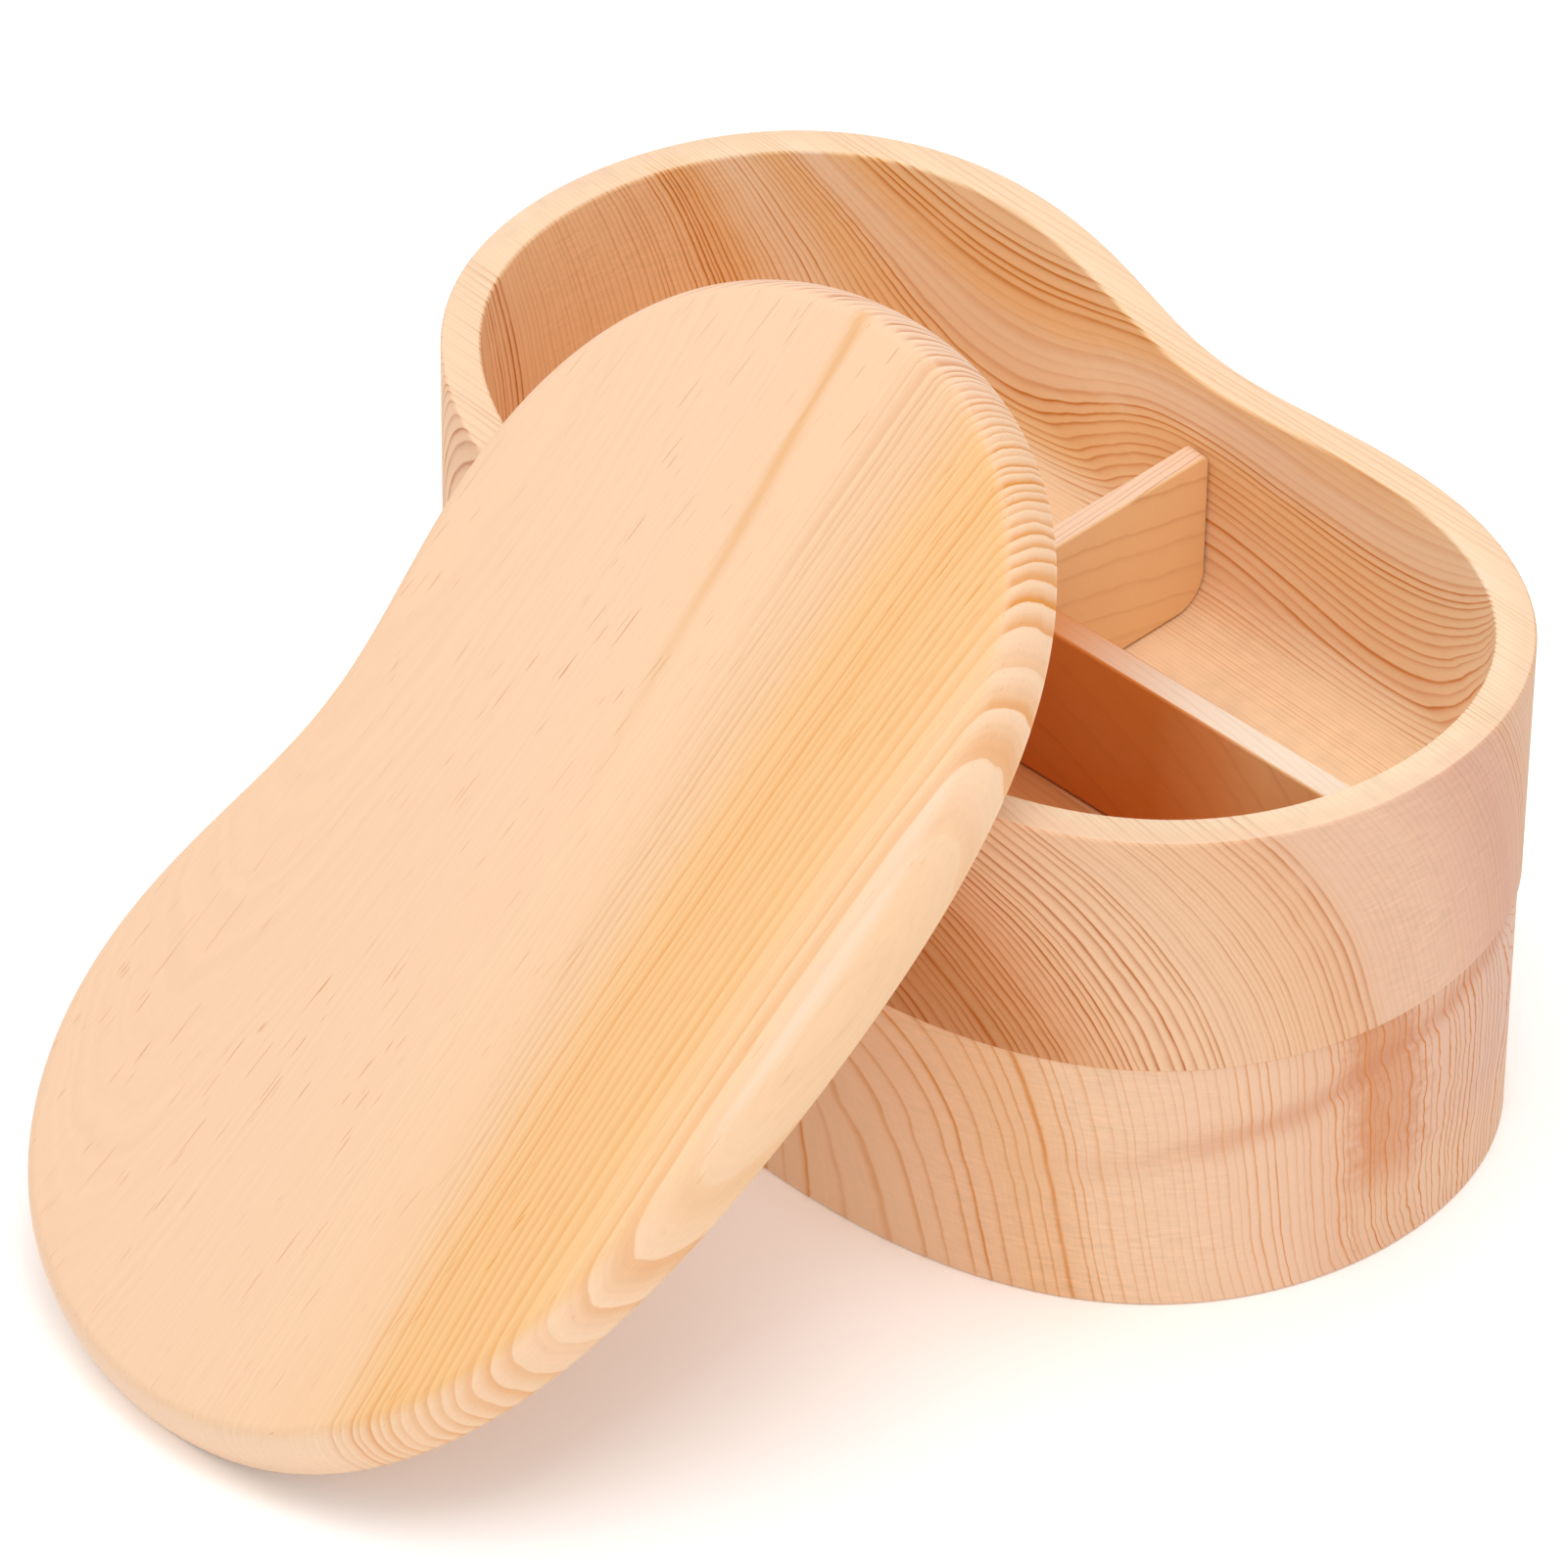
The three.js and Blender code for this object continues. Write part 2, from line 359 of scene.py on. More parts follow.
def board_loops(half, middle, long_axis, starts, butt=None):
    """Loops of points round a board, one for each row across its thickness. The near end follows the
    wall, or is straight at the place of the butt joint."""
    loops = []
    for across, shrink in edge_rows(half):
        end = end_profile(shrink)
        ends = [wall_meeting(middle + across, end[:, 0], 1 - long_axis, start) for start in starts]
        if butt is not None:
            ends.append(np.full(len(end), butt + shrink))
        far, near = ends
        along = np.concatenate([far, near[::-1]])
        height = np.concatenate([end[:, 1], end[::-1, 1]])
        flat = np.full((len(along), 2), middle + across)
        flat[:, long_axis] = along
        level = flat @ TEE_AXES + TEE_PLACE
        loops.append(np.concatenate([level, height[:, None]], -1))
    return np.array(loops)


def add_board(name, loops, node):
    """Board from its loops, closed by a fan on each face."""
    hubs = np.array([loops[0].mean(0), loops[-1].mean(0)])
    return add_piece(name, loops, hubs, "dividers", node, "divider_wood")


cross_loops = board_loops(CROSS_THICKNESS / 2, -CROSS_THICKNESS / 2, 1, CROSS_STARTS)
cross_divider = add_board("cross_divider_wood", cross_loops[:, ::-1], "cross_divider")
long_loops = board_loops(LONG_THICKNESS / 2, 0, 0, LONG_STARTS, DIVIDER_CLEARANCE - GROOVE_DEPTH)
long_divider = add_board("long_divider_wood", long_loops, "long_divider")

# %% [markdown]
# A face has a front and a back, told by the order of its corners. If all faces of a closed mesh
# point outwards, its signed volume comes out positive, which is printed here.

# %% Signed volume of each piece
PIECES = (lower_tier, upper_tier, lid, cross_divider, long_divider)
CUBIC_CM = 1e-6


def volume(piece):
    """Volume enclosed by a mesh, in cubic centimetres: positive where its faces point outwards."""
    shape = bmesh.new()
    shape.from_mesh(piece.data)
    cubic_metres = shape.calc_volume(signed=True)
    shape.free()
    return cubic_metres / CUBIC_CM


for piece in PIECES:
    print(piece.name, "holds", round(volume(piece), 2), "cubic centimetres")

# %% [markdown]
# A material in Blender is a tree of nodes: small boxes that each work out one thing, joined from
# outputs to inputs. This helper adds a node in one line. An input takes a number, or the output
# of another node, and every call gives back an output to go on with.

# %% Node helper


def rgb(code):
    """Linear colour of a hexadecimal display colour."""
    shown = np.array([int(code[i:i + 2], 16) for i in (1, 3, 5)]) / 255
    linear = np.where(shown <= 0.04045, shown / 12.92, ((shown + 0.055) / 1.055) ** 2.4)
    return (*linear.tolist(), 1.0)


class Nodes:
    """Node tree of a material or world. Each call adds a node, fills its inputs and returns an output."""

    def __init__(self, name, owner=None):
        self.material = owner or bpy.data.materials.new(name)
        self.material.use_nodes = True
        self.tree = self.material.node_tree
        self.tree.nodes.clear()

    def fill(self, socket, value):
        """Joins an output to an input, or sets the input to a plain value."""
        if isinstance(value, bpy.types.NodeSocket):
            self.tree.links.new(value, socket)
        else:
            socket.default_value = value

    def add(self, kind, inputs, output=0, **settings):
        """Node of a kind, with its settings, and inputs by name or number."""
        node = self.tree.nodes.new(kind)
        for key, value in settings.items():
            setattr(node, key, value)
        for key, value in inputs.items():
            self.fill(node.inputs[key], value)
        return None if output is None else node.outputs[output]

    def math(self, operation, *values, clamp=False):
        """Arithmetic on numbers."""
        return self.add("ShaderNodeMath", dict(enumerate(values)), operation=operation, use_clamp=clamp)

    def total(self, *values):
        """Sum of several numbers."""
        result = values[0]
        for value in values[1:]:
            result = self.math("ADD", result, value)
        return result

    def product(self, *values):
        """Product of several numbers."""
        result = values[0]
        for value in values[1:]:
            result = self.math("MULTIPLY", result, value)
        return result

    def axes(self, vector):
        """The three parts of a vector."""
        node = self.tree.nodes.new("ShaderNodeSeparateXYZ")
        self.tree.links.new(vector, node.inputs[0])
        return node.outputs[0], node.outputs[1], node.outputs[2]

    def mapped(self, vector, scale, location=(0, 0, 0)):
        """Vector scaled along each axis, then moved."""
        return self.add("ShaderNodeMapping", {"Vector": vector, "Scale": scale, "Location": location})

    def dot(self, first, second):
        """How far two vectors point the same way."""
        return self.add(
            "ShaderNodeVectorMath", {0: first, 1: second}, output="Value", operation="DOT_PRODUCT"
        )

    def mix(self, share, first, second):
        """Mixed colour: the first one at share zero, the second one at share one."""
        node = self.tree.nodes.new("ShaderNodeMix")
        node.data_type = "RGBA"
        for number, value in ((0, share), (6, first), (7, second)):
            self.fill(node.inputs[number], value)
        return node.outputs[2]

    def finish(self, shader, kind="ShaderNodeOutputMaterial"):
        """Joins the shader to the output of the tree."""
        self.add(kind, {"Surface": shader}, output=None)


print("honey as a linear colour", [round(v, 3) for v in rgb("#f4c389")])

# %% [markdown]
# Patterns need a few more kinds of node: smooth noise, soft steps, and curves and colour ramps
# drawn through listed points. The depth of a point in the wood is one number, and such curves turn
# it into the lines and colours of the rings.

# %% Node helper for patterns
BELL_BASE = 2.718


class PatternNodes(Nodes):
    """Node tree with noise, steps, curves and colour ramps."""

    def bell(self, value):
        """Bell curve: one where the value is zero, and falling to zero on both sides."""
        return self.math("POWER", BELL_BASE, self.product(value, value, -1.0))

    def noise(self, **settings):
        """Smooth noise from -1 to 1, with one cell to each unit of a Vector, or along one number W."""
        kind = "1D" if "W" in settings else "3D"
        found = self.add("ShaderNodeTexNoise", {"Scale": 1.0, **settings}, noise_dimensions=kind)
        return self.math("MULTIPLY_ADD", found, 2.0, -1.0)

    def step(self, value, low, high, to_low=0.0, to_high=1.0, kind="SMOOTHSTEP"):
        """Smooth change from one number to another as the value goes from low to high."""
        inputs = {"Value": value, "From Min": low, "From Max": high, "To Min": to_low, "To Max": to_high}
        return self.add("ShaderNodeMapRange", inputs, interpolation_type=kind)

    def curve(self, value, pairs, smooth=True):
        """Curve through pairs of position and height."""
        pairs = np.array(pairs, float)
        low, high = pairs[:, 1].min(), pairs[:, 1].max()
        high = high if high > low else low + 1
        share = self.step(value, pairs[0, 0], pairs[-1, 0], kind="LINEAR")
        node = self.tree.nodes.new("ShaderNodeFloatCurve")
        drawn = node.mapping.curves[0]
        across = (pairs[:, 0] - pairs[0, 0]) / (pairs[-1, 0] - pairs[0, 0])
        up = (pairs[:, 1] - low) / (high - low)
        while len(drawn.points) < len(pairs):
            drawn.points.new(0.5, 0.5)
        for point, place in zip(drawn.points, zip(across, up)):
            point.location = place
            point.handle_type = "AUTO_CLAMPED" if smooth else "VECTOR"
        node.mapping.update()
        self.tree.links.new(share, node.inputs["Value"])
        return self.step(node.outputs[0], 0.0, 1.0, low, high, kind="LINEAR")

    def ramp(self, value, stops):
        """Colour along one number, through pairs of position and hexadecimal display colour."""
        low, high = stops[0][0], stops[-1][0]
        node = self.tree.nodes.new("ShaderNodeValToRGB")
        self.tree.links.new(self.step(value, low, high, kind="LINEAR"), node.inputs[0])
        places = node.color_ramp.elements
        while len(places) < len(stops):
            places.new(1.0)
        for place, (position, code) in zip(places, stops):
            place.position = (position - low) / (high - low)
            place.color = rgb(code)
        return node.outputs[0]


# %% [markdown]
# Wood is worked out in the solid, not laid on the surface: a growth ring is a sheet round the
# pith of the tree, and each cut face shows the line where it crosses that sheet. So one pattern,
# read at the object coordinates of the surface, gives straight lines on the rim, arcs on the
# curved walls and end grain at the lobes, all of them joined over the edges.

# %% Wood: place in the board


def wood_place(n, look):
    """Place in the board in millimetres, from the object coordinates, turned into its own directions."""
    place = n.add("ShaderNodeTexCoord", {}, output="Object")
    if "turn" in look:
        inputs = {"Vector": place, "Location": look["place"], "Rotation": look["turn"]}
        place = n.add("ShaderNodeMapping", inputs, vector_type="TEXTURE")
    return n.mapped(place, (1 / MM, 1 / MM, 1 / MM))


# %% [markdown]
# Nothing in wood is quite even. Smooth noise gives each irregularity its own scale: few cells to a
# millimetre along the grain, which runs with x, and more of them across it. The table holds those
# cells along x, y and z, an offset, the layers of detail and their roughness.

# %% Wood: variations
VARIATIONS = {
    "sway": ((0.015, 0.05, 0.05), (0, 0, 0), 1.0, 0.5),
    "ripple": ((0.05, 0.22, 0.22), (7, 3, 1), 2.0, 0.5),
    "line_fade": ((0.03, 0.15, 0.15), (6, 1, 3), 2.0, 0.5),
    "fibre": ((0.09, 2.2, 2.2), (0, 0, 0), 3.0, 0.65),
    "weave": ((0.3, 0.3, 1.9), (0, 0, 0), 1.0, 0.5),
    "weave_patch": ((0.06, 0.06, 0.2), (4, 4, 4), 2.0, 0.5),
    "fleck": ((0.15, 3.2, 3.2), (1, 6, 2), 0.0, 0.5),
    "fleck_crowd": ((0.02, 0.05, 0.05), (2, 8, 5), 1.0, 0.5),
    "branch": ((0.04, 0.08, 0.1), (2, 5, 5), 2.0, 0.5),
    "streak": ((0.02, 0.5, 0.5), (3, 9, 4), 2.0, 0.6),
    "cloud": ((0.02, 0.04, 0.04), (5, 2, 8), 2.0, 0.5),
}


def variation(n, spot, name):
    """One of the variations at a spot, from -1 to 1."""
    scale, offset, detail, roughness = VARIATIONS[name]
    return n.noise(Vector=n.mapped(spot, scale, offset), Detail=detail, Roughness=roughness)



# %% [markdown]
# How deep a point lies in the rings is a sum of products of x, y and z, so the sheets can curve,
# lean and open. Far from what the picture shows, such a sum would curl up. Past two limits the
# depth therefore goes on evenly, and the sheets run straight, as they do in a real block.

# %% Wood: depth through the rings
SPANS = (95.0, 56.0, 45.0)
SHARES = [1 / span for span in SPANS]


def straightened(n, x, y, limits):
    """Both axes held back softly at their limits, and the even depth of what lies beyond them."""
    held_x = n.math("SMOOTH_MAX", x, limits["x_low"], limits["soft"])
    held_y = n.math("SMOOTH_MIN", y, limits["y_high"], limits["soft"])
    beyond_x = n.product(n.math("SUBTRACT", x, held_x), limits["by_x"])
    beyond_y = n.product(n.math("SUBTRACT", y, held_y), limits["by_y"])
    return held_x, held_y, beyond_x, beyond_y


def ring_depth(n, spot, look):
    """Depth through the growth rings, in mm: a row such as xxy holds the size of x times x times y, each
    of them a share of SPANS, and a little sway and ripple comes on top."""
    x, y, z = n.axes(n.mapped(spot, SHARES, (0, 0, -look["middle"] / SPANS[2])))
    depth = n.total(
        n.product(variation(n, spot, "sway"), look["sway"]),
        n.product(variation(n, spot, "ripple"), look["ripple"]),
    )
    if "straight_past" in look:
        x, y, beyond_x, beyond_y = straightened(n, x, y, look["straight_past"])
        depth = n.total(depth, beyond_x, beyond_y)
    products = {"x": x, "y": y, "z": z}
    for letters, size in look["sheets"].items():
        for count in range(2, len(letters) + 1):
            part = letters[:count]
            if part not in products:
                products[part] = n.product(products[part[:-1]], products[part[-1]])
        depth = n.math("MULTIPLY_ADD", products[letters], size, depth)
    return depth


# %% [markdown]
# A ring starts pale and soft in spring and ends in a thin hard line in late summer. The number of
# rings passed so far is read from a table of their spacing. Its fraction says how far through one
# ring a point is, and its whole part picks that ring's own strength by chance. The three curves
# are the darkness across one ring: thin lines, broad ones, and ones with their sharp side first.

# %% Wood: ring lines
THIN_LATE = [
    (0, 0.1), (0.1, 0.0), (0.5, 0.0), (0.72, 0.15), (0.86, 0.8), (0.92, 1.0), (0.97, 0.4), (1.0, 0.1),
]
BROAD_LATE = [
    (0, 0.2), (0.08, 0.02), (0.3, 0.03), (0.55, 0.2), (0.76, 0.65), (0.88, 1.0), (0.95, 0.6), (1.0, 0.2),
]
SHARP_FIRST = [
    (0, 0.85), (0.06, 1.0), (0.2, 0.85), (0.4, 0.5), (0.65, 0.2), (0.9, 0.0), (0.97, 0.05), (1.0, 0.85),
]
UNEVEN_PER_RING, UNEVEN_SIZE = 0.45, 0.5
WEAKEST_RING, FAINTEST_LINE = 0.5, 0.08
LINE_FADE = (-0.7, 0.3, 0.6, 1.0)


def ring_count(spacing):
    """Rings passed along a path: each stretch over the mean of the spacings at its two ends, summed up."""
    spacing = np.array(spacing, float)
    passed = np.diff(spacing[:, 0]) * 2 / (spacing[1:, 1] + spacing[:-1, 1])
    return np.stack([spacing[:, 0], np.concatenate([[0], np.cumsum(passed)])], -1)


def bare_lines(n, depth, look):
    """How dark each ring's line is by its shape and by chance alone."""
    rings = n.curve(depth, ring_count(look["spacing"]), smooth=False)
    uneven = n.noise(W=n.product(rings, UNEVEN_PER_RING), Detail=1.0)
    rings = n.math("ADD", rings, n.product(uneven, UNEVEN_SIZE))
    late = n.curve(n.math("FRACT", rings), look["late_line"])
    chance = n.add("ShaderNodeTexWhiteNoise", {"W": n.math("FLOOR", rings)}, noise_dimensions="1D")
    return n.product(late, n.math("MULTIPLY_ADD", chance, 1.0, WEAKEST_RING))


def line_strength(n, at, look):
    """Drawn strength of the lines along the depth, weaker in patches and where they die out."""
    fade = n.step(variation(n, at.spot, "line_fade"), *LINE_FADE)
    if "dies_out" in look:
        slanted = n.math("MULTIPLY_ADD", at.x, -look["dies_out"]["by_x"], at.depth)
        fade = n.product(fade, n.step(slanted, *look["dies_out"]["deep"], 1.0, FAINTEST_LINE))
    return n.product(n.curve(at.depth, look["lines"]), fade)


# %% [markdown]
# A small branch once grew through the lower tier's block. It is gone, but the rings still dip
# where it passed, and a reddish band crosses them and climbs to the right.

# %% Wood: branch trace
BRANCH_UNEVEN = 2.2


def branch_trace(n, spot, trace):
    """Nearness to the sheet that the branch left, from 0 to 1: a bell curve of the height off it."""
    x, y, z = n.axes(n.mapped(spot, SHARES))
    sheet = n.total(
        trace["level"], n.product(x, trace["by_x"]), n.product(y, trace["by_y"]),
        n.product(x, x, trace["by_xx"]),
    )
    off = n.math("SUBTRACT", n.product(z, SPANS[2]), sheet)
    off = n.math("MULTIPLY_ADD", variation(n, spot, "branch"), BRANCH_UNEVEN, off)
    return n.bell(n.math("DIVIDE", off, trace["width"]))


# %% [markdown]
# The functions that follow need the same few facts about the point that is being coloured, so
# these are worked out once: its place, its depth in the rings, how far it faces up, two of the
# variations, and the tone, which is its place along the board's own colours.

# %% Wood: facts about a point
TONE_STREAK = 1.2


def wood_point(n, look):
    """What is known about a point of the board, by name."""
    at = SimpleNamespace(spot=wood_place(n, look))
    at.x, at.y, at.z = n.axes(at.spot)
    at.depth = ring_depth(n, at.spot, look)
    if "trace" in look:
        at.near_branch = branch_trace(n, at.spot, look["trace"])
        at.depth = n.math("MULTIPLY_ADD", at.near_branch, look["trace"]["push"], at.depth)
    at.bare_lines = bare_lines(n, at.depth, look)
    at.normal = n.add("ShaderNodeTexCoord", {}, output="Normal")
    at.upwards = n.dot(at.normal, look["up"])
    at.streak = variation(n, at.spot, "streak")
    at.cloud = variation(n, at.spot, "cloud")
    by_depth, by_x = look["tone_by"]
    at.tone = n.total(
        n.product(at.depth, by_depth), n.product(at.x, by_x), n.product(at.streak, TONE_STREAK)
    )
    return at


# %% [markdown]
# The cells of softwood are long fibres that run with the grain. Cut through, they show as fine
# streaks, and the resin canals between them as short dark flecks. The cutter adds a faint weave of
# steps round the walls.

# %% Wood: fibres, flecks and cutter marks
FIBRE_LIGHT, FIBRE_HEIGHT, MARK_HEIGHT = 0.05, 0.012, 0.01
SHEETS_PER_MM, SHEET_DETAIL = 2.3, 3.0
WEAVE_PATCHES = (-0.4, 0.4, 0.3, 1.0)
FLECK_EDGE, FLECK_CROWDS = (0.5, 0.66), (-0.2, 0.4, 0.3, 1.0)


def cutter_marks(n, at, look):
    """Faint weave left by the cutter, in patches, as strong as is drawn along the depth."""
    patch = n.step(variation(n, at.spot, "weave_patch"), *WEAVE_PATCHES)
    return n.product(variation(n, at.spot, "weave"), patch, n.curve(at.depth, look["woven"]))


def fine_grain(n, at, look):
    """Light factor about one, and height in millimetres, from fibres, thin sheets and cutter marks."""
    fibre = variation(n, at.spot, "fibre")
    sheets = n.noise(W=n.product(at.depth, SHEETS_PER_MM), Detail=SHEET_DETAIL)
    marks = cutter_marks(n, at, look)
    light = n.total(
        1.0, n.product(fibre, FIBRE_LIGHT), n.product(sheets, look["thin_sheets"]),
        n.product(marks, look["marks"]),
    )
    return light, n.total(n.product(fibre, FIBRE_HEIGHT), n.product(marks, MARK_HEIGHT))


def flecks(n, at):
    """Short dark flecks, crowded in some places and few in others."""
    crowd = n.step(variation(n, at.spot, "fleck_crowd"), *FLECK_CROWDS)
    return n.product(n.step(variation(n, at.spot, "fleck"), *FLECK_EDGE), crowd)


# %% [markdown]
# The colour of the wood is laid down in layers. Each is a function that takes the body colour and
# the darkness of the lines so far, changes them by its own values and gives both back. The first
# two are for the inside of the upper tier, whose ring bands are grain and whose golden cast is
# painted bounce light, and for large pinkish clouds.

# %% Wood layers: inside and clouds
INSIDE = (-3.0, 3.0, 1.0, 0.0)
CLOUDS = (-0.3, 0.6)


def tinted(n, body, share, own):
    """Body colour changed towards a layer's colour, by a share of the layer's full amount."""
    return n.mix(n.product(share, own["amount"]), body, rgb(own["colour"]))


def inner_side_and_bounce_light(n, at, own, body, dark):
    """Own tones and line strengths where the surface faces the middle of the box: ring bands of the wood, in
    a golden cast that is painted bounce light.
    """
    across = n.add("ShaderNodeCombineXYZ", {0: at.x, 1: at.y, 2: 0.0})
    inside = n.step(n.dot(across, at.normal), *INSIDE)
    drift = n.product(n.step(at.x, *own["drift_x"]), own["drift"])
    inner = n.mix(drift, n.ramp(at.tone, own["tones"]), rgb(own["drift_colour"]))
    more = n.product(n.curve(at.depth, own["lines"]), inside)
    dark = n.math("MULTIPLY", dark, n.math("ADD", more, 1.0), clamp=True)
    return n.mix(inside, body, inner), dark


def blush(n, at, own, body, dark):
    """Large soft clouds of a pinker colour."""
    return tinted(n, body, n.step(at.cloud, *CLOUDS), own), dark


# %% [markdown]
# Faces that look up get a paler colour, which is painted top light and sheen, and weaker or
# stronger lines. On the lid the rolled edge is the special part: its colour is paler towards both
# ends of the board, and at the right end the rings show strongly as end grain.

# %% Wood layers: painted top light and rolled edge
FACES_UP, ROLLED_OVER = (0.75, 0.98), (0.97, 0.6)


def painted_top_light(n, at, own, body, dark):
    """Paler colour, painted top light and sheen, and weaker or stronger lines on faces that look up."""
    facing = n.step(at.upwards, *FACES_UP)
    dark = n.product(dark, n.step(facing, 0.0, 1.0, 1.0, own["lines_kept"]))
    return tinted(n, body, facing, own), dark


def rolled_edge(n, at, own, body, dark):
    """Colour and lines on faces that look sideways, with end grain at the right end."""
    facing = n.step(at.upwards, *ROLLED_OVER)
    off_middle = n.math("ABSOLUTE", n.math("SUBTRACT", at.x, own["middle"]))
    colour = n.mix(n.step(off_middle, *own["end_x"]), rgb(own["colour"]), rgb(own["end_colour"]))
    end_grain = n.product(n.step(at.x, *own["grain_x"], 0.0, own["grain"]), facing)
    dark = n.math("MAXIMUM", dark, n.product(at.bare_lines, end_grain))
    dark = n.product(dark, n.step(facing, 0.0, 1.0, 1.0, own["lines_kept"]))
    return n.mix(n.product(facing, own["amount"]), body, colour), dark


# %% [markdown]
# The upper tier's floor is paler, which is painted top light, and a band of orange painted shade
# of the lid runs along it in front of the long divider. On the lower tier it is the foot that grows
# paler, but only in the close rings at the right end.

# %% Wood layers: floor and foot
LEVEL = (0.6, 0.95)
SHADE_SWAY = 3.0


def painted_floor_light_and_shade(n, at, own, body, dark):
    """Pale floor below a height, painted top light, with a band of orange painted shade between two lines
    along it.
    """
    low = n.product(n.step(at.z, *own["z"]), n.step(at.upwards, *LEVEL))
    body = tinted(n, body, low, own)
    # The band is painted shade of the lid over the front compartment, in the orange of light bounced off the
    # wood.
    y = n.math("MULTIPLY_ADD", at.cloud, SHADE_SWAY, at.y)
    band = n.product(n.step(y, *own["streak_back"]), n.step(y, *own["streak_front"]))
    return n.mix(n.product(band, low, own["streak"]), body, rgb(own["streak_colour"])), dark


def pale_foot(n, at, own, body, dark):
    """Paler colour at the foot, only in the rings beyond a depth."""
    pale = n.product(n.step(at.z, *own["z"], 1.0, 0.0), n.step(at.depth, *own["deep"]))
    return tinted(n, body, pale, own), dark


# %% [markdown]
# Two single features are drawn on their own: a brown streak along the lid, which fades out towards
# its middle, and the reddish tint that the branch left on the lower tier.

# %% Wood layers: single streak and branch tint
STREAK_UNEVEN = 0.8


def single_streak(n, at, own, body, dark):
    """One streak along a slanted line, with a bell curve across it, on faces that look up."""
    off = n.math("SUBTRACT", at.y, n.math("MULTIPLY_ADD", at.x, own["by_x"], own["level"]))
    off = n.math("DIVIDE", n.math("MULTIPLY_ADD", at.streak, STREAK_UNEVEN, off), own["width"])
    along = n.step(at.x, *own["x"], 0.0, own["amount"])
    shown = n.product(n.bell(off), along, n.step(at.upwards, *LEVEL))
    return n.mix(shown, body, rgb(own["colour"])), dark


def branch_tint(n, at, own, body, dark):
    """Reddish tint near the branch's sheet, as strong as is drawn along x."""
    return n.mix(n.product(at.near_branch, n.curve(at.x, own["tint"])), body, rgb(own["colour"])), dark


LAYERS = {
    "inner": inner_side_and_bounce_light, "blush": blush, "top": painted_top_light, "edge": rolled_edge, "floor": painted_floor_light_and_shade,
    "foot": pale_foot, "streak": single_streak, "trace": branch_tint,
}
print("layers in their order:", ", ".join(LAYERS))

# %% [markdown]
# The whole wood puts these together. Tones change slowly from ring to ring between cream, honey
# and red-brown, and the late lines and flecks go on top of the layers. Sanded wood shines a little,
# and the same fine pattern makes it rougher or smoother and slightly uneven. A board's look says
# which layers it has, and with what values.

# %% Wood: the whole material
ROUGH, ROUGH_BY_LIGHT, ROUGH_BY_LINE = 0.26, 0.3, -0.08
BUMP_STRENGTH, REFRACTION, SHINE = 0.5, 1.45, 0.2


def wood(name, look):
    """Solid softwood from a look: its sheets, ring spacing, line strength, tones and layers."""
    n = PatternNodes(name)
    at = wood_point(n, look)
    light, height = fine_grain(n, at, look)
    dark = n.math("MULTIPLY", at.bare_lines, line_strength(n, at, look), clamp=True)
    body = n.ramp(at.tone, look["tones"])
    for key, layer in LAYERS.items():
        if key in look:
            body, dark = layer(n, at, look[key], body, dark)
    late = n.ramp(at.tone, look["late"])
    body = n.mix(dark, body, late)
    body = n.mix(n.product(flecks(n, at), look["fleck"]), body, late)
    body = n.add("ShaderNodeVectorMath", {0: body, 3: light}, operation="SCALE")
    rough = n.math("MULTIPLY_ADD", dark, ROUGH_BY_LINE, ROUGH)
    rough = n.math("MULTIPLY_ADD", light, ROUGH_BY_LIGHT, rough)
    bump = n.add("ShaderNodeBump", {"Height": height, "Distance": MM, "Strength": BUMP_STRENGTH})
    surface = {
        "Base Color": body, "Roughness": rough, "Normal": bump, "IOR": REFRACTION,
        "Specular IOR Level": SHINE,
    }
    n.finish(n.add("ShaderNodeBsdfPrincipled", surface))
    return n.material
